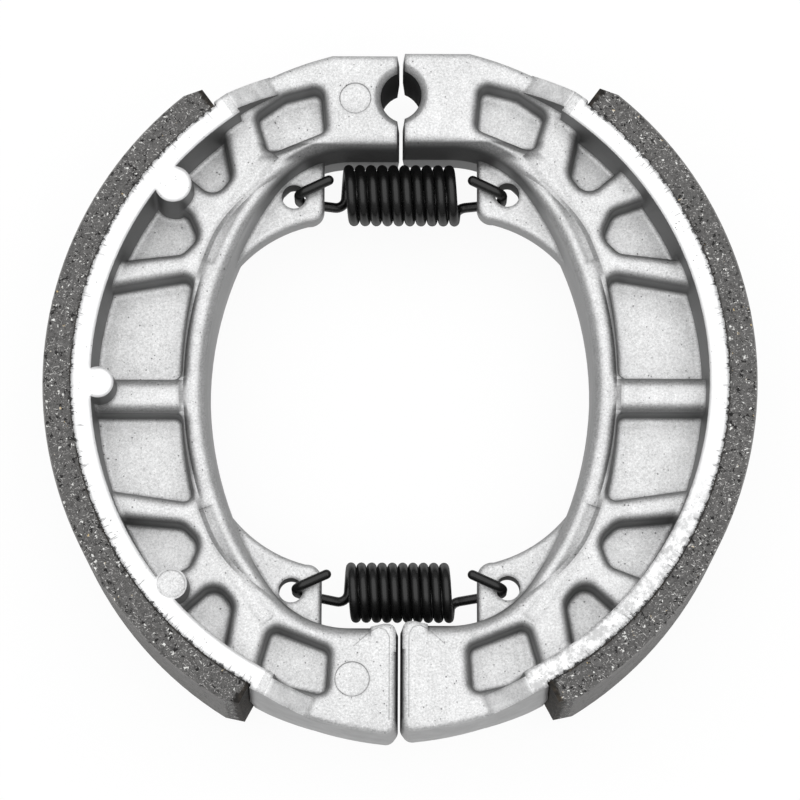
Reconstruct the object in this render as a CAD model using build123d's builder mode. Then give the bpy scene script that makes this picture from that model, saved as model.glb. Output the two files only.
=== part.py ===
from build123d import *
from math import cos, radians, sin, sqrt, tan
import os

# A pair of drum brake shoes held together by two springs, lying on its back face.
# Millimetres. X runs across the pair, Y from the cam ends up to the anchor ends, Z to the front.
# The drum turns about the Z axis. Both castings are the same part: the right one is the left
# one turned half a turn about the Y axis.

# Friction linings
lining_radius = 55.0
lining_thickness = 4.1
lining_width = 24.0
lining_half_angle = 57.4
lining_toe_depth = 0.9
lining_toe_angle = 2.9

# Castings: a full width rim, a thinner ribbed body inside it and a web in the middle
arc_offset = 2.9
arc_turn = 4.0
shoe_width = 25.0
rim_thickness = 2.9
rim_half_angle = 60.3
lip_gap = 0.3
body_thickness = 15.5
web_thickness = 6.0
draft = 2.5
end_step = 1.1
end_round = 0.8
end_slope_angle = 8.0
end_slope_depth = 0.3
end_wall = 3.3

# The opening between the shoes and the thick rib along it
body_depth = 17.0
end_depth = 16.5
opening_radius = 51.5
opening_corner = 14.0
rib_round = 2.2
rib_width = 3.4
groove_radius = 2.6
groove_depth = 0.35
groove_angles = (19.5, 39.5)

# Ends of each shoe
plateau_drop = 1.7
anchor_gap = 0.5
cam_gap = 0.3
cam_corner = 1.5
pad_width = 4.3
pad_rise = 0.5
pad_shoulder = 2.2
bore_radius = 3.9
bore_cover = 6.6
bore_overlap = 0.85
bore_chamfer = 0.95
right_rise = 0.4

# Pockets on both faces. Corners are distances in from the back of the rim, with degrees from
# the middle of the shoe, and each kind is repeated on the far side of the middle rib. They lie
# on the rounds of the mouths, and the walls start inside them by the inset.
pocket_turn = 0.8
end_pocket = ((2.7, 73.7), (2.0, 66.0), (2.7, 59.3), (9.7, 56.9), (10.4, 71.4))
outer_pocket = ((-1.0, 56.0), (9.3, 49.8), (9.9, 42.8), (-1.0, 42.4))
inner_pocket = ((-1.0, 35.6), (7.9, 38.9), (12.0, 35.6), (11.1, 29.6), (-1.0, 20.6))
panel_corner = (14.1, 28.9)
panel_edge = (-1.0, 16.8)
panel_bow = 0.3
middle_rib_half = 2.0
middle_rib_drop = 1.7
pocket_corner = 1.9
petal_corner = 2.8
pocket_inset = 0.5
pocket_round = 1.5
floor_round = 0.8

# Spring ears
ear_thickness = 4.0
ear_hole_radius = 1.8
ear_hole_inset = 2.25
ear_hole_drop = 5.85
ear_edge = 4.5
ear_reach = 3.9
ear_corner = 2.4
ear_length = 13.4
ear_waist = (4.3, 6.8)
ear_round = 0.8
ear_bury = 1.5

# Bosses on the front of the rim, and the marks that ejector pins leave on the front
boss_radius = 2.3
anchor_boss_radius = 2.7
boss_inset = 1.1
boss_angle = 39.4
anchor_mark_radius = 2.3
cam_mark_radius = 2.5
mark_edge = 0.25
mark_depth = 0.12
mark_inset = 6.55
mark_drop = 8.6

# Springs
anchor_wire = 1.5
anchor_coil = 9.2
anchor_pitch = 1.67
cam_wire = 1.42
cam_coil = 8.9
cam_pitch = 1.52
spring_rise = 0.5
wire_clearance = 0.3
bend_radius = 1.5
coil_start = 9.0
coil_stop = -38.0
leg_run = 1.75
anchor_leg = 6.7
cam_leg = 7.4
tail_length = 4.7
tail_rise = 1.9
tail_lift = 0.8

# Values that follow from the sizes. A length under the fine one counts as none.
fine = 0.01
middle = shoe_width / 2
body_rise = body_thickness / 2
body_top = middle + body_rise
floor_height = middle + web_thickness / 2
rim_outer = lining_radius - lining_thickness
rim_inner = rim_outer - rim_thickness
slab_radius = (rim_inner + rim_outer) / 2
end_radius = rim_outer + end_step
lip_angle = rim_half_angle - lining_half_angle - lip_gap
arc_middle = 180 + arc_turn
rim_start = arc_middle - rim_half_angle
rim_end = arc_middle + rim_half_angle
opening_height = end_radius - end_depth
opening_offset = opening_radius + body_depth + arc_offset - rim_inner
anchor_face = -anchor_gap / 2
anchor_height = end_radius - plateau_drop
bore_height = anchor_height - bore_cover
cam_face = -cam_gap / 2
ear_hole_y = opening_height - ear_hole_drop
ear_hole_x = opening_offset - sqrt((opening_radius - ear_hole_inset) ** 2 - ear_hole_y**2)
mark_x = anchor_face - mark_inset
mark_y = end_radius - mark_drop


def spot(radius, angle):
    # A point in plan, by its radius and its angle about the lining's centre.
    return (arc_offset + radius * cos(radians(angle)), radius * sin(radians(angle)))


def place(corner, side):
    # A pocket's corner in plan, towards the anchor (1) or the cam (-1).
    inset, steps = corner
    return spot(rim_outer - inset, 180 + pocket_turn - side * steps)


def wall_x(height, beyond=0.0):
    # Where the opening's long wall, or a line beyond it in the shoe, is at a given height.
    return opening_offset - sqrt((opening_radius + beyond) ** 2 - height**2)


def from_opening(edge):
    # An edge's distance in plan from the centre of the opening's long wall.
    halfway = edge @ 0.5
    return Vector(halfway.X - opening_offset, halfway.Y, 0).length


def top_edges(part):
    # The edges that lie in the face of the body.
    return part.edges().filter_by_position(Axis.Z, body_top - fine, body_top + fine)


def arc(radius, start, end):
    return ThreePointArc(
        spot(radius, start), spot(radius, (start + end) / 2), spot(radius, end)
    )


def sector(inner, outer, start, end, lean=0.0):
    # The front half of a ring about the lining's centre. Its inner wall leans in towards the web.
    plane = Plane(
        origin=(arc_offset, 0, 0),
        x_dir=(cos(radians(start)), sin(radians(start)), 0),
        z_dir=(sin(radians(start)), -cos(radians(start)), 0),
    )
    with BuildPart() as piece:
        with BuildSketch(plane):
            with BuildLine():
                Polyline(
                    (inner - lean, middle),
                    (outer, middle),
                    (outer, shoe_width),
                    (inner, shoe_width),
                    close=True,
                )
            make_face()
        revolve(axis=Axis((arc_offset, 0, 0), (0, 0, 1)), revolution_arc=end - start)
    return piece.part


def slope(angle, way):
    # Past each end of the rim its face runs down to the face of the body.
    far = angle + way * end_slope_angle
    across = Vector(-way * sin(radians(angle)), way * cos(radians(angle)), 0)
    run = end_radius * radians(end_slope_angle)
    low = body_top - end_slope_depth
    upright = Plane(
        origin=(*spot(end_radius, angle), 0), x_dir=across, z_dir=across.cross(Vector(0, 0, 1))
    )
    with BuildPart() as ramp:
        add(sector(end_radius - end_wall, end_radius, min(angle, far), max(angle, far)))
        with BuildSketch(upright):
            with BuildLine():
                Polyline(
                    (0, shoe_width),
                    (run, low),
                    (2 * run, low),
                    (2 * run, 2 * shoe_width),
                    (0, 2 * shoe_width),
                    close=True,
                )
            make_face()
        extrude(amount=shoe_width, both=True, mode=Mode.SUBTRACT)
    return ramp.part


def sink(mouth):
    # A pocket's cutter narrows towards the web, and its floor is rounded into its walls.
    with BuildPart() as cutter:
        extrude(mouth, amount=floor_height - body_top, taper=draft)
        fillet(cutter.faces().sort_by(Axis.Z)[0].edges(), radius=floor_round)
    return cutter.part


def pocket(corners, corner, side):
    with BuildSketch(Plane.XY.offset(body_top)) as mouth:
        with BuildLine():
            Polyline(*[place(point, side) for point in corners], close=True)
        make_face()
        fillet(mouth.vertices(), radius=corner)
        offset(amount=-pocket_inset)
    return sink(mouth.sketch)


def panel(side):
    # The two large pockets lie between the middle rib, the rim and the rib along the opening.
    rib_y = side * middle_rib_half - middle_rib_drop
    far = place(panel_corner, side)
    near = (wall_x(rib_y, rib_width), rib_y)
    bend_y = (far[1] + rib_y) / 2
    edge = place(panel_edge, side)
    with BuildSketch(Plane.XY.offset(body_top)) as mouth:
        with BuildLine():
            ThreePointArc(far, (wall_x(bend_y, rib_width + panel_bow), bend_y), near)
            Polyline(near, (edge[0], rib_y), edge, far)
        make_face()
        fillet(mouth.vertices(), radius=pocket_corner)
        offset(amount=-pocket_inset)
    return sink(mouth.sketch)


cam_tip_y = -sqrt(end_radius**2 - (arc_offset - cam_face) ** 2)
pad_top = pad_rise - opening_height
pad_x = cam_face - pad_width
opening_x = wall_x(opening_height)

# The opening at the parting plane, halfway through the width
with BuildSketch(Plane.XY.offset(middle)) as opening_plan:
    with BuildLine():
        ThreePointArc((opening_x, opening_height), (wall_x(0), 0), (opening_x, -opening_height))
        Polyline(
            (opening_x, -opening_height),
            (rim_inner, -opening_height),
            (rim_inner, opening_height),
            (opening_x, opening_height),
        )
    make_face()
    for y in (opening_height, -opening_height):
        corner = opening_plan.vertices().sort_by_distance((opening_x, y, middle))[0]
        fillet(corner, radius=opening_corner)

# The flat faces at the two ends, with room beyond them
with BuildPart() as faces:
    for face, low, high in (
        (anchor_face, -opening_height / 2, anchor_height),
        (cam_face, -2 * end_radius, opening_height / 2),
    ):
        with BuildSketch(Plane.XY.offset(middle)):
            with Locations((face, low)):
                Rectangle(2 * end_radius, high - low, align=(Align.MAX, Align.MIN))
        extrude(amount=body_rise, taper=draft)

# The corner of the cam's pad stands a little proud of the opening's wall
with BuildSketch(Plane.XY.offset(middle)) as pad_plan:
    with BuildLine():
        Polyline(
            (cam_face, -opening_height - pad_width),
            (cam_face, pad_top),
            (cam_face - pad_shoulder, pad_top),
            (pad_x, -opening_height),
            (pad_x, -opening_height - pad_width),
            close=True,
        )
    make_face()
    fillet(pad_plan.vertices().sort_by_distance((cam_face, pad_top, middle))[0], cam_corner)


def along_opening(edge):
    # Whether an edge of the body's face runs along the opening.
    halfway = edge @ 0.5
    from_centre = Vector(halfway.X - arc_offset, halfway.Y, 0).length
    return abs(halfway.Y) < opening_height + end_wall and from_centre < rim_inner


def at_the_end(edge):
    # Whether an edge of the body's face is the outer arc of an end.
    halfway = edge @ 0.5
    from_centre = Vector(halfway.X - arc_offset, halfway.Y, 0).length
    return from_centre > rim_outer - end_round and abs(halfway.X) > cam_corner


# The body narrows from the parting plane, and its edge along the opening is well rounded
with BuildPart() as body:
    with BuildSketch(Plane.XY.offset(middle)):
        with Locations((arc_offset, 0)):
            Circle(end_radius)
    extrude(amount=body_rise, taper=draft)
    add(faces.part, mode=Mode.INTERSECT)
    extrude(opening_plan.sketch, amount=body_rise, taper=-draft, mode=Mode.SUBTRACT)
    add(sector(slab_radius, 2 * rim_outer, rim_start, rim_end), mode=Mode.SUBTRACT)
    tip = body.edges().sort_by_distance((cam_face, cam_tip_y, middle + body_rise / 2))[0]
    fillet(tip, radius=cam_corner)
    fillet([e for e in top_edges(body) if along_opening(e)], radius=rib_round)
    fillet([e for e in top_edges(body) if at_the_end(e)], radius=end_round)
    extrude(pad_plan.sketch, amount=body_rise, taper=draft)

# Past the lining the rim reaches out to the ends' own wall, and slopes run down from there
with BuildPart() as rim_ends:
    for start in (rim_start, rim_end - lip_angle):
        add(sector(slab_radius, end_radius, start, start + lip_angle))
    add(slope(rim_start, -1))
    add(slope(rim_end, 1))
    with BuildSketch(Plane.XY.offset(middle)):
        with Locations((arc_offset, 0)):
            Circle(end_radius)
    extrude(amount=shoe_width - middle, taper=draft, mode=Mode.INTERSECT)

with BuildPart() as front_half:
    with BuildSketch(Plane.XY.offset(middle)):
        with Locations((arc_offset, 0)):
            Circle(2 * rim_outer)
    extrude(amount=body_rise)
    plate_edge = top_edges(front_half)
    for side in (1, -1):
        add(pocket(end_pocket, pocket_corner, side), mode=Mode.SUBTRACT)
        add(pocket(outer_pocket, petal_corner, side), mode=Mode.SUBTRACT)
        add(pocket(inner_pocket, petal_corner, side), mode=Mode.SUBTRACT)
        add(panel(side), mode=Mode.SUBTRACT)
    fillet([e for e in top_edges(front_half) if e not in plate_edge], radius=pocket_round)
    # A shallow groove sets the rib along the opening off from the flat between the pockets
    for side in (1, -1):
        turn = 180 - side * groove_angles[0]
        groove_plane = Plane(
            origin=(opening_offset, 0, 0),
            x_dir=(cos(radians(turn)), sin(radians(turn)), 0),
            z_dir=(sin(radians(turn)), -cos(radians(turn)), 0),
        )
        with BuildSketch(groove_plane):
            with Locations((opening_radius + rib_width, body_top + groove_radius - groove_depth)):
                Circle(groove_radius)
        revolve(
            axis=Axis((opening_offset, 0, 0), (0, 0, -side)),
            revolution_arc=groove_angles[1] - groove_angles[0],
            mode=Mode.SUBTRACT,
        )
    add(body.part, mode=Mode.INTERSECT)
    lean = (shoe_width - middle) * tan(radians(draft))
    add(sector(rim_inner, rim_outer, rim_start, rim_end, lean))
    add(rim_ends.part)
    # Half of the anchor pin's bore, chamfered at the face
    with BuildSketch(Plane.XY.offset(middle)):
        with Locations((bore_overlap, bore_height)):
            Circle(bore_radius)
    extrude(amount=shoe_width, mode=Mode.SUBTRACT)
    with Locations((bore_overlap, bore_height, body_top - bore_chamfer / 2)):
        Cone(bore_radius, bore_radius + bore_chamfer, bore_chamfer, mode=Mode.SUBTRACT)

# Thin spring ears inside the rib, at the middle of the width
ear_back = middle - ear_thickness / 2
ear_edge_x = ear_edge + ear_hole_x
ear_root_y = ear_hole_y - ear_length
ear_middle_y = ear_hole_y - ear_length / 2
with BuildPart() as ears:
    for side in (1, -1):
        root = (wall_x(ear_root_y, ear_round), side * ear_root_y)
        waist = (ear_hole_x - ear_waist[0], side * (ear_hole_y - ear_waist[1]))
        reach = (ear_edge_x - ear_corner, side * (ear_hole_y - ear_reach))
        with BuildSketch(Plane.XY.offset(ear_back)) as ear_plan:
            with BuildLine():
                ThreePointArc(root, waist, reach)
                Polyline(
                    reach,
                    (ear_edge_x, reach[1]),
                    (ear_edge_x, side * (opening_height + ear_bury)),
                    (wall_x(ear_hole_y, ear_bury), side * ear_hole_y),
                    (wall_x(ear_middle_y, ear_bury), side * ear_middle_y),
                    root,
                )
            make_face()
            fillet(
                ear_plan.vertices().sort_by_distance((ear_edge_x, reach[1], ear_back))[0],
                radius=ear_corner - ear_round / 4,
            )
        extrude(amount=ear_thickness)
    free = [e for e in ears.edges().filter_by(Plane.XY) if from_opening(e) < opening_radius - 1]
    fillet(free, radius=ear_round)
    with BuildSketch(Plane.XY.offset(middle)):
        with Locations((ear_hole_x, ear_hole_y), (ear_hole_x, -ear_hole_y)):
            Circle(ear_hole_radius)
    extrude(amount=ear_thickness, both=True, mode=Mode.SUBTRACT)

with BuildPart() as left_shoe:
    add(front_half.part)
    mirror(about=Plane.XY.offset(middle))
    add(ears.part)
    # Bosses flush with the front of the rim
    for radius, steps in (
        (anchor_boss_radius, boss_angle),
        (boss_radius, 0),
        (boss_radius, -boss_angle),
    ):
        boss_spot = spot(rim_inner + boss_radius - radius - boss_inset, 180 + pocket_turn - steps)
        with BuildSketch(Plane.XY.offset(shoe_width)):
            with Locations(boss_spot):
                Circle(radius)
        extrude(amount=middle - shoe_width, taper=-draft)
    # Round marks left by the ejector pins
    for x, y, z, radius in (
        (mark_x, mark_y, body_top, anchor_mark_radius),
        (mark_x, -mark_y, body_top, cam_mark_radius),
        (*boss_spot, shoe_width, boss_radius - mark_edge),
    ):
        with BuildSketch(Plane.XY.offset(z)):
            with Locations((x, y)):
                Circle(radius)
        extrude(amount=-mark_depth, mode=Mode.SUBTRACT)

with BuildPart() as left_lining:
    lining_start = arc_middle - lining_half_angle
    lining_end = arc_middle + lining_half_angle
    toe_radius = lining_radius - lining_toe_depth
    with BuildSketch(Plane.XY.offset((shoe_width - lining_width) / 2)):
        with BuildLine():
            arc(rim_outer, lining_start, lining_end)
            Polyline(
                spot(rim_outer, lining_end),
                spot(toe_radius, lining_end),
                spot(lining_radius, lining_end - lining_toe_angle),
            )
            arc(lining_radius, lining_end - lining_toe_angle, lining_start + lining_toe_angle)
            Polyline(
                spot(lining_radius, lining_start + lining_toe_angle),
                spot(toe_radius, lining_start),
                spot(rim_outer, lining_start),
            )
        make_face()
    extrude(amount=lining_width)

turned_over = Location((0, right_rise, shoe_width), (0, 180, 0))
with BuildPart() as right_shoe:
    with Locations(turned_over):
        add(left_shoe.part)

with BuildPart() as right_lining:
    with Locations(turned_over):
        add(left_lining.part)


def wire_x(wire):
    # How far to the left the wire passes through the ear's hole, on its side nearer the coil.
    return ear_hole_x + ear_hole_radius - wire / 2 - wire_clearance


def hook(coil_end, outward, side, seat_y, wire):
    # From the coil behind the ear, forwards through its hole and back across its front.
    hole_x = -side * wire_x(wire)
    behind = ear_back - wire / 2 - wire_clearance
    ahead = ear_back + ear_thickness + wire / 2 + wire_clearance
    return FilletPolyline(
        coil_end,
        coil_end + outward * leg_run,
        (hole_x, seat_y, behind),
        (hole_x, seat_y, ahead),
        (hole_x - side * tail_length, seat_y + tail_rise, ahead + tail_lift),
        radius=bend_radius,
    )


def spring(wire, coil, pitch, leg, centre_y, seat_y):
    # As many turns as leave room for a leg at both ends, and both ends at their own angle.
    part_turn = (coil_stop - coil_start) / 360
    turns = int((-2 * wire_x(wire) - 2 * leg) / pitch - part_turn) + part_turn
    length = pitch * turns
    start = (-length / 2, centre_y, middle)
    coil_line = Helix(pitch, length, (coil - wire) / 2, center=start, direction=(1, 0, 0))
    coil_line = coil_line.rotate(Axis(start, (1, 0, 0)), 180 + coil_start)
    with BuildPart() as piece:
        with BuildLine():
            left_hook = hook(coil_line @ 0, (coil_line % 0) * -1, -1, seat_y, wire)
        with BuildLine():
            right_hook = hook(coil_line @ 1, coil_line % 1, 1, seat_y, wire)
        for line in (coil_line, left_hook, right_hook):
            with BuildSketch(Plane(origin=line @ 0, z_dir=line % 0)):
                Circle(wire / 2)
            sweep(path=line)
    return piece.part


seat_y = ear_hole_y + right_rise / 2
anchor_spring = spring(
    anchor_wire, anchor_coil, anchor_pitch, anchor_leg, seat_y + spring_rise, seat_y
)
seat_y = right_rise / 2 - ear_hole_y
cam_spring = spring(cam_wire, cam_coil, cam_pitch, cam_leg, seat_y - spring_rise / 2, seat_y)

os.makedirs("parts", exist_ok=True)
for name, part in (
    ("left_shoe", left_shoe.part),
    ("left_lining", left_lining.part),
    ("right_shoe", right_shoe.part),
    ("right_lining", right_lining.part),
    ("anchor_spring", anchor_spring),
    ("cam_spring", cam_spring),
):
    part.label = name
    export_step(part, f"parts/{name}.step")
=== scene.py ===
import math
import bpy
from mathutils import Matrix, Vector


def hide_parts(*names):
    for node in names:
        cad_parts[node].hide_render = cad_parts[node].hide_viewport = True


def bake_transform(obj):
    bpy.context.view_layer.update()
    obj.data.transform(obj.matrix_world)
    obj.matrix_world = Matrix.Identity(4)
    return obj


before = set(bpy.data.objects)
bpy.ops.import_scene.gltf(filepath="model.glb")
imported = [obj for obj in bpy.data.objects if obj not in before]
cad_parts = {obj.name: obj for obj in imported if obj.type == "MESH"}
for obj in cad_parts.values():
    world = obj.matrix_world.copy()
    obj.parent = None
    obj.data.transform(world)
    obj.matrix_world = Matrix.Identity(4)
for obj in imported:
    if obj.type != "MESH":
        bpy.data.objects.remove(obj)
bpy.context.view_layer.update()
print("frame loaded")

millimetre = 0.001


# Shader maths. A Socket stands for one output in a material, and an expression adds its nodes.
class Socket:
    def __init__(self, finish, socket):
        self.finish, self.socket = finish, socket

    def maths(self, operation, *values):
        return self.finish.maths(operation, self, *values)

    def __add__(self, other):
        return self.maths("ADD", other)

    def __sub__(self, other):
        return self.maths("SUBTRACT", other)

    def __rsub__(self, other):
        return self.finish.maths("SUBTRACT", other, self)

    def __mul__(self, other):
        return self.maths("MULTIPLY", other)

    def __abs__(self):
        return self.maths("ABSOLUTE")

    def least(self, other):
        return self.maths("MINIMUM", other)

    def most(self, other):
        return self.maths("MAXIMUM", other)

    def above(self, low, high):  # 0 below low, 1 above high, and smooth between them
        return self.finish.node(
            "ShaderNodeMapRange",
            {"interpolation_type": "SMOOTHSTEP"},
            {"Value": self, "From Min": low, "From Max": high},
        )

    def below(self, low, high):
        return 1 - self.above(low, high)

    __radd__ = __add__
    __rmul__ = __mul__


def distance(x, y):
    return (x * x + y * y).maths("SQRT")


class Finish:
    def __init__(self, name):
        self.material = bpy.data.materials.new(name)
        self.material.use_nodes = True
        self.tree = self.material.node_tree
        self.shader = self.tree.nodes["Principled BSDF"]
        place = self.node("ShaderNodeTexCoord", output="Object")
        self.place = self.node(  # millimetres
            "ShaderNodeVectorMath", {"operation": "SCALE"}, {0: place, "Scale": 1 / millimetre}
        )
        self.x, self.y, self.z = self.split(self.place)

    def node(self, kind, settings=None, sockets=None, output=0):
        made = self.tree.nodes.new(kind)
        for name, value in (settings or {}).items():
            setattr(made, name, value)
        for name, value in (sockets or {}).items():
            self.put(made.inputs[name], value)
        return Socket(self, made.outputs[output])

    def put(self, target, value):
        if isinstance(value, Socket):
            self.tree.links.new(value.socket, target)
        else:
            target.default_value = value

    def maths(self, operation, *values):
        return self.node("ShaderNodeMath", {"operation": operation}, dict(enumerate(values)))

    def split(self, vector):
        return [self.node("ShaderNodeSeparateXYZ", {}, {0: vector}, axis) for axis in "XYZ"]

    def join(self, x, y, z):
        return self.node("ShaderNodeCombineXYZ", {}, {"X": x, "Y": y, "Z": z})

    def noise(self, scale, detail=2.0, vector=None, roughness=0.5, output=0):
        return self.node("ShaderNodeTexNoise", {}, {
            "Vector": vector or self.place, "Scale": scale, "Detail": detail, "Roughness": roughness,
        }, output)

    def cells(self, scale, vector=None):  # the distance to the nearest of scattered points
        return self.node("ShaderNodeTexVoronoi", {}, {"Vector": vector or self.place, "Scale": scale})

    def mix(self, factor, first, second):
        return self.node("ShaderNodeMix", {"data_type": "RGBA"}, {0: factor, 6: first, 7: second}, 2)

    def grey(self, value, warmth=1.0):  # a number as a colour
        return self.node("ShaderNodeCombineColor", {}, {
            "Red": value * warmth, "Green": value, "Blue": value * (2 - warmth),
        })

    def bump(self, height, tall, strength=1.0, **normal):
        sockets = {"Height": height, "Distance": tall * millimetre, "Strength": strength}
        return self.node("ShaderNodeBump", {}, {**sockets, **normal})

    def set(self, **sockets):
        for name, value in sockets.items():
            self.put(self.shader.inputs[name.replace("_", " ")], value)
        return self.material


class ShoeFinish(Finish):  # also knows a point's place on its shoe, from the centre of the shoe's arc
    def __init__(self, name, side, centre):
        super().__init__(name)
        outwards = (self.x - centre[0]) * side
        self.up = self.y - centre[1]
        self.radius = distance(outwards, self.up)
        self.angle = self.maths("ARCTAN2", self.up, outwards)


# Castings. Shades run from 0 to 1. Lengths are in millimetres and angles in degrees.
casting = {
    # The wall shade is partly painted shade, the foot shade is painted shade, and the slope, end wall and
    # opening wall shades are painted light.
    "face": 0.565, "speckle": 0.36, "slope": 0.26, "paintedFootShade": 0.55, "faceRoughness": 0.46,
    "wall": 0.24, "openingWallPaintedLight": 0.14, "endWallPaintedLight": 0.22, "shadow": 0.85,
    "machined": 0.70, "cloud": 0.30, "fault": 0.85, "machinedRoughness": 0.34,
    "metal": 0.82, "specular": 0.3, "tint": (0.55, 0.55, 0.55, 1.0), "warmth": 0.997, "roundness": 1.2,
    "width": 25.0, "rimOuter": 50.9, "liningEnd": 57.4, "liningTurn": -4.0,
    "openingCentre": 23.4, "openingRadius": 51.5, "openingHeight": 35.5, "openingCorner": 14.0,
    "ridge": 3.5, "ridgeDepth": 0.32, "ribY": -1.7, "ribHalf": 2.4, "ribDepth": 0.4,
    "bore": (-0.85, 43.7, 4.3), "earHole": (15.925, 29.65, 1.9),
    "rings": ((6.8, 43.4, 2.3), (6.8, -43.4, 2.5)),
    "padLine": ((6.6, -38.6), (4.3, -36.5), (3.0, -35.9), (2.0, -36.2), (1.42, -37.2), (1.42, -49.3)),
}


class CastingFinish(ShoeFinish):
    def __init__(self, name, side, centre, frontWay, mottle, cutEnds):
        super().__init__(name, side, centre)
        self.frontWay, self.mottle, self.cutEnds = frontWay, mottle, cutEnds
        self.inwards = self.x * side
        self.front = self.z - casting["width"] / 2
        self.depth = abs(self.front)
        normal = self.node("ShaderNodeNewGeometry", output="Normal")
        self.upright = abs(self.split(normal)[2])
        self.fromMiddle = abs(self.angle - math.radians(casting["liningTurn"]))
        liningEnd = math.radians(casting["liningEnd"])
        self.besideLining = self.fromMiddle.below(liningEnd, liningEnd + math.radians(0.3))
        self.fromOpening = self.measureOpening()
        self.acrossRib = (self.up - casting["ribY"]) * (1 / casting["ribHalf"])
        self.alongOpening = abs(self.up).below(26.0, 34.0)
        self.onRib = self.alongOpening * self.depth.above(6.6, 7.3)
        self.belowBosses = self.depth.below(8.0, 8.4)

        self.grain = self.noise(3.2, 4.0, roughness=0.65)
        self.fineGrain = self.noise(7.5, 2.0)
        self.patches = self.noise(0.11, 3.0)
        self.wide = self.noise(0.45, 3.0)
        self.pits = (self.cells(0.85) - (self.noise(0.5, 1.0) * 0.16 - 0.02)).below(0.0, 0.05)
        self.specks = self.cells(2.1).below(0.06, 0.20) * self.noise(0.9).above(0.42, 0.56)

    def measureOpening(self):  # the opening is a wide arc with round corners
        corner = casting["openingCorner"]
        fromCentre = distance(self.inwards + casting["openingCentre"], self.up)
        pastSide = (fromCentre - casting["openingRadius"] + corner).most(0.0)
        pastEnd = (abs(self.up) - casting["openingHeight"] + corner).most(0.0)
        return distance(pastSide, pastEnd) - corner

    def fromStrokes(self, points):  # the least distance to a chain of straight strokes
        nearest = None
        for (ax, ay), (bx, by) in zip(points, points[1:]):
            length = math.hypot(bx - ax, by - ay)
            dx, dy = (bx - ax) / length, (by - ay) / length
            x, y = self.inwards - ax, self.up - ay
            along = (x * dx + y * dy).most(0.0).least(length)
            stroke = distance(x - along * dx, y - along * dy)
            nearest = stroke if nearest is None else nearest.least(stroke)
        return nearest

    def scribed(self):  # rings that the ejector pins leave, and the line of the cam's pad
        rings = None
        for x, y, size in casting["rings"]:
            ring = abs(distance(self.inwards - x, self.up - y) - size)
            rings = ring if rings is None else rings.least(ring)
        rings = rings.below(0.03, 0.13) * (self.front * self.frontWay).above(0.0, 0.1)
        padLine = self.fromStrokes(casting["padLine"]).below(0.02, 0.13)
        return (rings * 0.45).most(padLine * 0.4) * self.depth.above(7.2, 7.5) * (0.5 + self.wide)

    def shadow(self):  # the bore and the ear holes are dark, and so is the wall below the bore
        boreX, boreY, boreRadius = casting["bore"]
        fromBore = distance(self.inwards - boreX, self.up - boreY)
        inBore = fromBore.below(boreRadius - 0.1, boreRadius + 0.1) * self.upright.below(0.2, 0.4)
        earX, earY, earRadius = casting["earHole"]
        fromHole = distance(self.inwards - earX, abs(self.up) - earY)
        inHole = fromHole.below(earRadius, earRadius + 0.2) * self.upright.below(0.2, 0.6)
        underBore = self.up.above(33.0, 34.5) * self.up.below(36.3, 36.8) * self.inwards.below(18.0, 24.0)
        underBore = underBore * (0.35 + self.front.above(-0.1, 0.1) * 0.45)
        return inBore.most(underBore).most(inHole * 0.75) * self.depth.below(7.6, 7.8)

    def faces(self):  # blasted, with painted light on the slopes at the rim's ends
        speckle = (self.grain - 0.5) * casting["speckle"] * 2 + (self.fineGrain - 0.5) * casting["speckle"]
        shade = casting["face"] + speckle + (self.patches - 0.5) * 0.16 + (self.wide - 0.5) * 0.14
        shade = shade * (1 - self.pits * 0.62) * (1 - self.specks * 0.42)
        # Painted light: the sloping faces at the rim's ends are made lighter, with some mottle
        slopes = self.upright.above(0.70, 0.78) * self.upright.below(0.88, 0.94)
        slopes = slopes * self.radius.above(47.4, 48.2) * self.depth.above(7.9, 8.4)
        return shade + slopes * (casting["slope"] + (self.wide - 0.5) * 0.5)

    def walls(self):  # a darker wall tone, as-cast and painted shade, with painted light past the lining and towards the opening
        # Painted light on the outward walls of the ends, past the lining
        paintedLightOnEndWalls = self.radius.above(49.5, 49.8) * (1 - self.besideLining)
        shade = casting["wall"] + (self.patches - 0.5) * 0.08 + (self.grain - 0.5) * 0.04
        shade = shade + paintedLightOnEndWalls * (casting["endWallPaintedLight"] + (self.wide - 0.5) * 0.2)
        # Painted light on the wall along the opening
        return shade + self.fromOpening.below(0.6, 1.6) * self.alongOpening * casting["openingWallPaintedLight"]

    def paintedRibFootShade(self):  # painted shade along the foot of the rib along the opening, darkest where a panel ends at it
        ridge = casting["ridge"]
        paintedFootShade = self.fromOpening.above(ridge - 0.5, ridge + 0.1)
        paintedFootShade = paintedFootShade * self.fromOpening.below(ridge + 1.1, ridge + 1.5) * self.onRib
        besidePanel = abs(self.up).below(12.5, 14.5) * abs(self.acrossRib).above(1.0, 1.5)
        return paintedFootShade * (0.35 + besidePanel * 0.65)

    def ribs(self):  # the rib along the opening and the middle rib are round, which a tall bump shades
        ridge = casting["ridge"]
        tube = (self.fromOpening - ridge / 2) * (2 / ridge)
        bank = ((self.fromOpening - ridge - 0.9) * 0.6).least(0.0)
        tube = (tube * tube * -casting["ridgeDepth"]).most(bank) * self.onRib * self.belowBosses
        ribTop = abs(self.acrossRib).below(0.95, 1.2) * self.fromOpening.above(ridge - 0.4, ridge + 0.8)
        ribTop = ribTop * self.radius.below(47.3, 47.9) * self.depth.above(6.0, 7.0) * self.belowBosses
        return tube + self.acrossRib * self.acrossRib * -casting["ribDepth"] * ribTop

    def machined(self):  # the faces of the rim and its bosses; the cut stops short of the rim's ends
        half = casting["width"] / 2
        upper, lower = (math.radians(end) for end in self.cutEnds)
        cutEnd = self.up.above(-1.0, 1.0) * (upper - lower) + lower
        return self.depth.above(half - 0.09, half - 0.04) * self.fromMiddle.below(cutEnd, cutEnd + 0.002)

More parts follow.
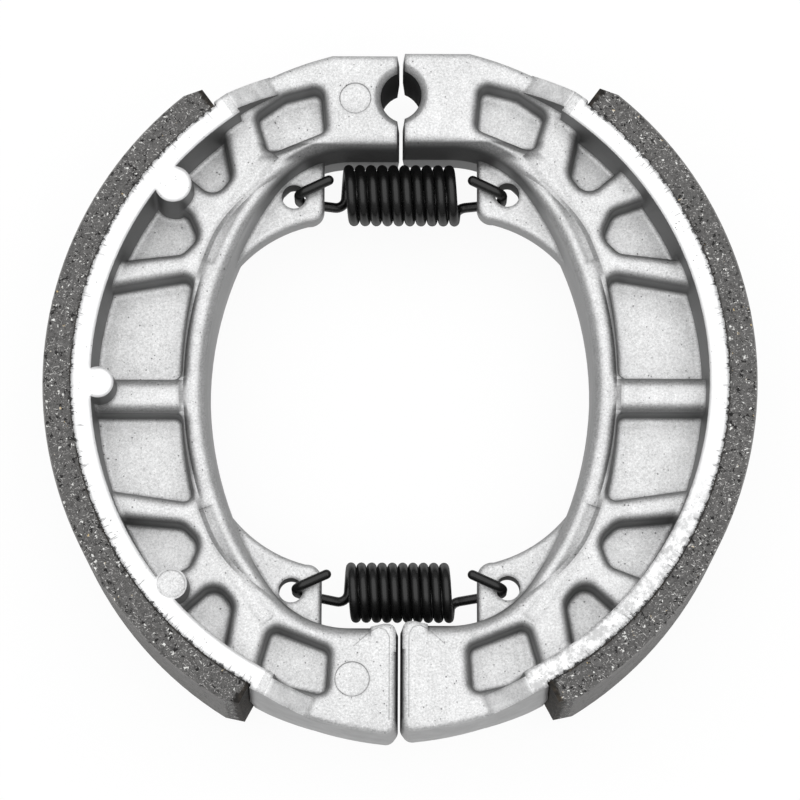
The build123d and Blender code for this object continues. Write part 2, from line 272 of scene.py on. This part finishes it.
    def faults(self):  # cutting tears the rim beside the lining, and scores and pits it
        edge = casting["rimOuter"]
        along = self.angle * edge
        tear = self.noise(1.0, 4.0, self.join(along * 1.7, self.radius * 0.7, 0.0), roughness=0.75)
        torn = (self.radius + tear * 2.4).above(edge + 1.06, edge + 1.18)
        scores = self.noise(1.0, 2.0, self.join(along * 1.3, self.radius * 0.10, 0.0))
        scoreReach = (self.radius + self.noise(0.35, 1.0) * 3.5).above(edge + 0.6, edge + 1.3)
        scored = abs(scores - 0.42).below(0.004, 0.016) * scoreReach
        pits = (self.cells(1.4) - self.noise(0.3, 2.0) * 0.34 + 0.12).below(0.0, 0.04)
        return (torn.most(scored * 0.6) * self.besideLining).most(pits * 0.8)

    def make(self):
        steep, shadow, scribed = self.upright.below(0.25, 0.95), self.shadow(), self.scribed()
        # Steep faces take the wall tone, with its painted shade and painted light
        cast = self.faces() * (1 - steep) + self.walls() * steep
        cast = cast * (1 - scribed) * (1 - shadow * casting["shadow"])
        # Painted shade at the foot of the rib along the opening
        cast = cast * (1 - self.paintedRibFootShade() * casting["paintedFootShade"])

        machined, faults = self.machined(), self.faults()
        cloudy = self.noise(0.9, 4.0, roughness=0.75).above(0.40, 0.62)
        cloudy = cloudy * self.mottle * self.up.below(-26.0, -8.0)
        bright = (casting["machined"] - cloudy * casting["cloud"]) * (1 - faults * casting["fault"])

        roughness = casting["faceRoughness"] + (self.grain - 0.5) * 0.16
        roughness = roughness * (1 - machined) + casting["machinedRoughness"] * machined
        relief = self.grain * 0.5 + self.fineGrain * 0.3 - self.pits * 0.9 - self.specks * 0.4
        relief = relief * (1 - machined) - scribed * 0.8 - faults * machined
        roundness = casting["roundness"] * millimetre
        rounded = self.node("ShaderNodeBevel", {"samples": 6}, {"Radius": roundness})
        return self.set(
            Base_Color=self.grey(cast * (1 - machined) + bright * machined, casting["warmth"]),
            Roughness=roughness.most(shadow * 0.95),
            Metallic=casting["metal"] - shadow * 0.5,
            Specular_IOR_Level=casting["specular"],
            Specular_Tint=casting["tint"],
            Normal=self.bump(relief, 0.06, 0.55, Normal=self.bump(self.ribs(), 1.0, Normal=rounded)),
        )


# Linings. Fibres are a turn in degrees, how fine their noise is along them, and the share of it
# that they leave out.
lining = {
    "shade": 0.098, "ground": 0.17, "roughness": 0.82, "mottle": 0.20, "grain": 0.20, "fibre": 0.34,
    "fibres": ((15, 1.6, 0.67), (75, 2.1, 0.685), (135, 1.8, 0.675), (165, 2.6, 0.695)),
    "chip": (0.72, 0.72, 0.70, 1), "rust": (0.50, 0.38, 0.20, 1),
    # The burnt and singed colours also serve the painted shade in the seam beside the rim
    "burntAndSeamShade": (0.010, 0.009, 0.008, 1), "singedAndSeamShade": (0.040, 0.032, 0.024, 1),
    "specular": 0.35, "warmth": 1.02,
    "outer": 55.0, "inner": 50.9, "turn": -4.0, "halfAngle": 57.4,
}


class LiningFinish(ShoeFinish):
    def __init__(self, name, side, centre):
        super().__init__(name, side, centre)
        x, y, z = self.x, self.y, self.z
        self.along = (self.angle - math.radians(lining["turn"])) * lining["outer"]
        self.mixed = self.noise(1.1, 5.0, roughness=0.7)
        self.grain = self.noise(4.2, 3.0, roughness=0.7)
        self.fibres = self.scatterFibres()
        wander = self.noise(2.5, 1.0, output="Color")
        bent = self.node("ShaderNodeVectorMath", {"operation": "ADD"}, {0: self.place, 1: wander})
        bentX, bentY, bentZ = self.split(bent)
        chipSize = self.noise(0.9, 1.0, self.join(z, y, x)) * 0.46 - 0.12
        self.chips = (self.cells(1.0, bent) - chipSize).below(0.0, 0.08)
        holeSize = self.noise(0.7, 1.0, self.join(y, x, z)) * 0.7 - 0.19
        self.holes = (self.cells(1.2, self.join(bentY, bentZ, bentX)) - holeSize).below(0.0, 0.14)

    def scatterFibres(self):
        fibres = None
        for turn, fineness, share in lining["fibres"]:
            c, d = math.cos(math.radians(turn)), math.sin(math.radians(turn))
            run, side = self.x * c + self.y * d, self.y * c - self.x * d
            layer = self.noise(1.0, 1.0, self.join(run * fineness, side * 6.0, self.z * 2.6 + turn))
            layer = layer.above(share, share + 0.05)
            fibres = layer if fibres is None else fibres.most(layer)
        return fibres

    def moulded(self):  # speckled with fibres, holes and chips, a few of them rusty
        mottle = (self.mixed - 0.5) * lining["mottle"] + (self.grain - 0.5) * lining["grain"]
        shade = ((lining["shade"] + mottle) * (1 - self.holes * 0.9)).most(0.012)
        shade = shade + self.fibres * lining["fibre"] * (self.mixed * 1.6 + 0.2)
        rust = self.noise(0.5, 1.0, self.join(self.z, self.x, self.y)).above(0.6, 0.68)
        chipColour = self.mix(rust, lining["chip"], lining["rust"])
        return self.mix(self.chips, self.grey(shade, lining["warmth"]), chipColour)

    def groundDown(self):  # the outer face, with fine streaks along the arc
        streak = self.noise(1.0, 3.0, self.join(self.along * 0.12, self.z * 5.0, 0.0), roughness=0.6)
        blotch = self.noise(0.5, 4.0, self.join(self.along * 0.5, self.z * 1.4, 3.0), roughness=0.65)
        shade = lining["ground"] + (streak - 0.5) * 0.12 + (blotch - 0.5) * 0.12
        return self.grey(shade * (1 - self.holes * 0.6) + self.fibres * 0.06, lining["warmth"])

    def make(self):
        ground = self.radius.above(lining["outer"] - 0.25, lining["outer"] - 0.12)
        faceColour = self.mix(ground, self.moulded(), self.groundDown())
        # The ends are dark with burnt adhesive. The line beside the rim is adhesive and painted shade in
        # the seam, in the same dark colours
        fromEnd = math.radians(lining["halfAngle"]) * lining["outer"] - abs(self.along)
        rough = self.noise(0.8, 4.0, roughness=0.7)
        burntEnd = (fromEnd + rough * 2.4 - 1.2).below(0.6, 1.1)
        # Painted shade, with adhesive, in the seam between the lining and the rim
        seamAdhesiveAndShade = (self.radius - rough * 0.5 + 0.25).below(lining["inner"] + 0.08, lining["inner"] + 0.26)
        burntAndSeamShadeColour = self.mix(rough.above(0.4, 0.7), lining["burntAndSeamShade"], lining["singedAndSeamShade"])
        relief = self.mixed * 0.5 + self.grain * 0.5 - self.holes * 1.2 + self.fibres * 0.3
        relief = relief + burntEnd * rough * 3.0
        return self.set(
            Base_Color=self.mix(burntEnd.most(seamAdhesiveAndShade * 0.85), faceColour, burntAndSeamShadeColour),
            Roughness=lining["roughness"] - self.chips * 0.25,
            Specular_IOR_Level=lining["specular"],
            Normal=self.bump(relief * (1 - ground * 0.7), 0.14, 0.6),
        )


# Both shoes are the same casting. The right one is turned over, and its machined face is mottled.
# That face ends at cutEnds, an angle above the lining's middle and one below it.
shoes = {
    "left": {"side": -1, "centre": (2.9, 0.0), "frontWay": 1, "mottle": 0.0, "cutEnds": (58.9, 58.7)},
    "right": {"side": 1, "centre": (-2.9, 0.4), "frontWay": -1, "mottle": 1.0, "cutEnds": (58.7, 61.0)},
}


def dress(node, material):
    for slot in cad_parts[node].material_slots:
        slot.material = material


for name, shoe in shoes.items():
    blasted = CastingFinish("blastedCasting" + name.title(), **shoe)
    bonded = LiningFinish("frictionLining" + name.title(), shoe["side"], shoe["centre"])
    dress(name + "_shoe", blasted.make())
    dress(name + "_lining", bonded.make())
print("castings and linings finished")


# Springs, in millimetres and degrees. The coil follows a rule, and both hooks follow a path
# through the ears.
wireFinish = {"shade": 0.004, "roughness": 0.27, "specular": 0.40, "edge": 0.55}
ears = {"holeX": 15.925, "holeRadius": 1.8, "back": 10.5, "thickness": 4.0, "gap": 0.3}
springs = {
    "anchorSpring": {
        "node": "anchor_spring", "wire": 1.5, "coil": 9.2, "pitch": 1.67, "centreY": 30.35, "seatY": 29.85,
    },
    "camSpring": {
        "node": "cam_spring", "wire": 1.42, "coil": 8.9, "pitch": 1.52, "centreY": -29.7, "seatY": -29.45,
    },
}
turns = {
    "whole": 10, "start": 279.0, "stop": 232.0, "centreZ": 12.5, "legRun": 1.75, "bend": 1.5,
    "tail": 4.45, "tailRise": 1.9, "tailLift": 0.8, "sides": 28, "steps": 44,
}


def springFinish():
    finish = Finish("blackSpringWire")
    skin = finish.noise(2.4, 3.0, roughness=0.6)
    fineSkin = finish.noise(9.0, 2.0)
    worn = finish.noise(0.6, 3.0).above(0.62, 0.75)
    edge = finish.node("ShaderNodeLayerWeight", {}, {"Blend": 0.5}, "Facing")  # gloss fades there
    roughness = wireFinish["roughness"] + (skin - 0.5) * 0.2 - worn * 0.06
    return finish.set(
        Base_Color=finish.grey(wireFinish["shade"] + (skin - 0.5) * 0.004 + worn * 0.005),
        Roughness=roughness + edge * edge * edge * wireFinish["edge"],
        Specular_IOR_Level=wireFinish["specular"],
        Normal=finish.bump(skin * 0.6 + fineSkin * 0.4, 0.03, 0.4),
    )


class ShapeTree:  # a Geometry Nodes tree, where add puts in a node and gives its first output
    def __init__(self, name):
        self.tree = bpy.data.node_groups.new(name, "GeometryNodeTree")
        self.tree.is_modifier = True

    def socket(self, name, kind, way="INPUT"):
        self.tree.interface.new_socket(name, in_out=way, socket_type="NodeSocket" + kind)

    def add(self, kind, settings=None, sockets=None):
        made = self.tree.nodes.new(kind)
        for name, value in (settings or {}).items():
            setattr(made, name, value)
        for name, value in (sockets or {}).items():
            if isinstance(value, bpy.types.NodeSocket):
                self.tree.links.new(value, made.inputs[name])
            else:
                made.inputs[name].default_value = value
        return made.outputs[0] if made.outputs else None

    def maths(self, operation, *values):
        return self.add("ShaderNodeMath", {"operation": operation}, dict(enumerate(values)))

    def together(self, *shapes):
        made = self.tree.nodes.new("GeometryNodeJoinGeometry")
        for shape in shapes:
            self.tree.links.new(shape, made.inputs[0])
        return made.outputs[0]


def coilCurve(shape, given):  # a straight line of points is wound round the spring's axis
    line = shape.add("GeometryNodeCurvePrimitiveLine", {}, {"Start": (0, 0, 0), "End": (1, 0, 0)})
    line = shape.add("GeometryNodeResampleCurve", {}, {"Curve": line, "Count": given["Steps"]})
    share = shape.add("GeometryNodeSplineParameter")
    wound = shape.maths("MULTIPLY", given["Turns"], 2 * math.pi)
    angle = shape.maths("MULTIPLY_ADD", share, wound, given["Start Angle"])
    reach = shape.maths("MULTIPLY", shape.maths("SUBTRACT", given["Coil"], given["Wire"]), 0.5)
    place = shape.add("ShaderNodeCombineXYZ", {}, {
        "X": shape.maths("MULTIPLY", shape.maths("SUBTRACT", share, 0.5), given["Length"]),
        "Y": shape.maths("MULTIPLY_ADD", shape.maths("COSINE", angle), reach, given["Centre Y"]),
        "Z": shape.maths("MULTIPLY_ADD", shape.maths("SINE", angle), reach, given["Centre Z"]),
    })
    return shape.add("GeometryNodeSetPosition", {}, {"Geometry": line, "Position": place})


def endDomes(shape, given, hooks):  # a cut end of wire has a small dome
    dome = shape.add("GeometryNodeMeshUVSphere", {}, {
        "Segments": given["Sides"], "Rings": 12, "Radius": shape.maths("MULTIPLY", given["Wire"], 0.497),
    })
    ends = shape.add("GeometryNodeCurveEndpointSelection", {}, {"Start Size": 0, "End Size": 1})
    return shape.add("GeometryNodeInstanceOnPoints", {}, {
        "Points": hooks, "Selection": ends, "Instance": dome,
    })


def springTree(material):
    shape = ShapeTree("coilSpring")
    shape.socket("Hooks", "Geometry")
    for name in ("Wire", "Coil", "Length", "Turns", "Start Angle", "Centre Y", "Centre Z", "Bend"):
        shape.socket(name, "Float")
    for name in ("Steps", "Sides"):
        shape.socket(name, "Int")
    shape.socket("Spring", "Geometry", "OUTPUT")
    given = shape.tree.nodes.new("NodeGroupInput").outputs

    hooks = shape.add("GeometryNodeFilletCurve", {"mode": "POLY"}, {
        "Curve": given["Hooks"], "Radius": given["Bend"], "Limit Radius": True, "Count": 9,
    })
    section = shape.add("GeometryNodeCurvePrimitiveCircle", {"mode": "RADIUS"}, {
        "Resolution": given["Sides"], "Radius": shape.maths("MULTIPLY", given["Wire"], 0.5),
    })
    route = shape.together(coilCurve(shape, given), hooks)
    wire = shape.add("GeometryNodeCurveToMesh", {}, {
        "Curve": route, "Profile Curve": section, "Fill Caps": True,
    })
    whole = shape.together(wire, endDomes(shape, given, hooks))
    smooth = shape.add("GeometryNodeSetShadeSmooth", {}, {"Geometry": whole})
    real = shape.add("GeometryNodeRealizeInstances", {}, {"Geometry": smooth})
    dressed = shape.add("GeometryNodeSetMaterial", {}, {"Geometry": real, "Material": material})
    shape.add("NodeGroupOutput", {}, {0: dressed})
    return shape.tree


def coilEnd(size, angle, x):  # a point of the coil and the way its wire runs there, in mm
    reach = (size["coil"] - size["wire"]) / 2
    c, d = math.cos(math.radians(angle)), math.sin(math.radians(angle))
    point = Vector((x, size["centreY"] + reach * c, turns["centreZ"] + reach * d))
    run = Vector((size["pitch"] / (2 * math.pi), -reach * d, reach * c))
    return point, run.normalized()


def hookPath(size, side, length):
    angle = turns["stop"] if side > 0 else turns["start"]
    point, run = coilEnd(size, angle, side * length / 2)
    clear = size["wire"] / 2 + ears["gap"]
    holeX = side * (ears["holeX"] - ears["holeRadius"] + clear)
    behind, ahead = ears["back"] - clear, ears["back"] + ears["thickness"] + clear
    tail = (holeX - side * turns["tail"], size["seatY"] + turns["tailRise"], ahead + turns["tailLift"])
    throughHole = [Vector((holeX, size["seatY"], z)) for z in (behind, ahead)]
    return [point, point + run * side * turns["legRun"], *throughHole, Vector(tail)]


def hookCurve(name, size, length):
    curve = bpy.data.curves.new(name, "CURVE")
    curve.dimensions = "3D"
    for side in (-1, 1):
        points = hookPath(size, side, length)
        spline = curve.splines.new("POLY")
        spline.points.add(len(points) - 1)
        for at, point in zip(spline.points, points):
            at.co = (*(point * millimetre), 1.0)
    guide = bpy.data.objects.new(name + "Guide", curve)
    bpy.context.scene.collection.objects.link(guide)
    return guide


def makeSpring(name, size, tree):
    whole = turns["whole"] + (turns["stop"] - turns["start"]) / 360
    length = size["pitch"] * whole
    guide = hookCurve(name, size, length)
    modifier = guide.modifiers.new("coilSpring", "NODES")
    modifier.node_group = tree
    values = {
        "Wire": size["wire"] * millimetre, "Coil": size["coil"] * millimetre,
        "Length": length * millimetre, "Turns": whole, "Start Angle": math.radians(turns["start"]),
        "Centre Y": size["centreY"] * millimetre, "Centre Z": turns["centreZ"] * millimetre,
        "Bend": turns["bend"] * millimetre,
        "Steps": int(whole * turns["steps"]), "Sides": turns["sides"],
    }
    for item in tree.interface.items_tree:
        if item.name in values:
            modifier[item.identifier] = values[item.name]
    bpy.context.view_layer.update()
    evaluated = guide.evaluated_get(bpy.context.evaluated_depsgraph_get())
    mesh = bpy.data.meshes.new_from_object(evaluated)
    piece = bpy.data.objects.new(name, mesh)
    bpy.context.scene.collection.objects.link(piece)
    bpy.data.objects.remove(guide)
    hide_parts(size["node"])
    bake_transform(piece)
    print(name, len(mesh.polygons), "faces")


tree = springTree(springFinish())
for name, size in springs.items():
    makeSpring(name, size, tree)
print("springs made")


# Floor, light and camera. Places are in metres, and the camera's roll is in degrees.
stage = {
    "floor": 0.93, "floorGlow": 0.93, "floorReach": 4.0, "floorDrop": 0.0003,
    "world": 0.45, "boxSize": 1.8, "boxPlace": (0.0, 0.17, 0.9), "boxPower": 13.8,
}
view = {"spot": (0.0, -0.1156, 0.6144), "looksAt": (0.0, -0.0032, 0.025), "lens": 185.7, "roll": 0.2}


def makeFloor():
    finish = Finish("paleFloor")
    clouds = (finish.noise(0.01, 2.0) - 0.5) * 0.01
    finish.set(Base_Color=finish.grey(stage["floor"] + clouds), Roughness=0.9, Specular_IOR_Level=0.2)
    seen = finish.node("ShaderNodeLightPath", output="Is Camera Ray")
    seen = seen.most(finish.node("ShaderNodeLightPath", output="Is Glossy Ray"))
    seen = seen.most(finish.node("ShaderNodeLightPath", output="Is Transmission Ray"))
    glow = finish.node("ShaderNodeEmission", {}, {"Color": (1, 1, 1, 1), "Strength": 1.0})
    mixed = finish.node("ShaderNodeMixShader", {}, {
        0: seen * stage["floorGlow"], 1: Socket(finish, finish.shader.outputs[0]), 2: glow,
    })
    finish.put(finish.tree.nodes["Material Output"].inputs["Surface"], mixed)
    far, low = stage["floorReach"], -stage["floorDrop"]
    corners = [(-far, -far, low), (far, -far, low), (far, far, low), (-far, far, low)]
    mesh = bpy.data.meshes.new("floor")
    mesh.from_pydata(corners, [], [(0, 1, 2, 3)])
    mesh.materials.append(finish.material)
    floor = bpy.data.objects.new("floor", mesh)
    bpy.context.scene.collection.objects.link(floor)


def makeLight():
    world = bpy.data.worlds.new("softSurround")
    bpy.context.scene.world = world
    world.use_nodes = True
    background = world.node_tree.nodes["Background"]
    background.inputs["Color"].default_value = (1, 1, 1, 1)
    background.inputs["Strength"].default_value = stage["world"]
    box = bpy.data.lights.new("softBox", "AREA")
    box.shape = "SQUARE"
    box.size = stage["boxSize"]
    box.energy = stage["boxPower"]
    light = bpy.data.objects.new("softBox", box)
    light.location = stage["boxPlace"]
    bpy.context.scene.collection.objects.link(light)


def makeCamera():
    data = bpy.data.cameras.new("camera")
    data.sensor_width = 36.0
    data.lens = view["lens"]
    data.clip_start = 0.01
    spot = Vector(view["spot"])
    way = (Vector(view["looksAt"]) - spot).normalized()
    right = Vector((1, 0, 0))
    roll = math.radians(view["roll"])
    up = right.cross(way) * math.cos(roll) - right * math.sin(roll)
    turn = Matrix((way.cross(up), up, -way)).transposed().to_4x4()
    camera = bpy.data.objects.new("camera", data)
    camera.matrix_world = Matrix.Translation(spot) @ turn
    bpy.context.scene.collection.objects.link(camera)
    bpy.context.scene.camera = camera


makeFloor()
makeLight()
makeCamera()
bpy.context.scene.view_settings.view_transform = "Standard"
print("stage set")
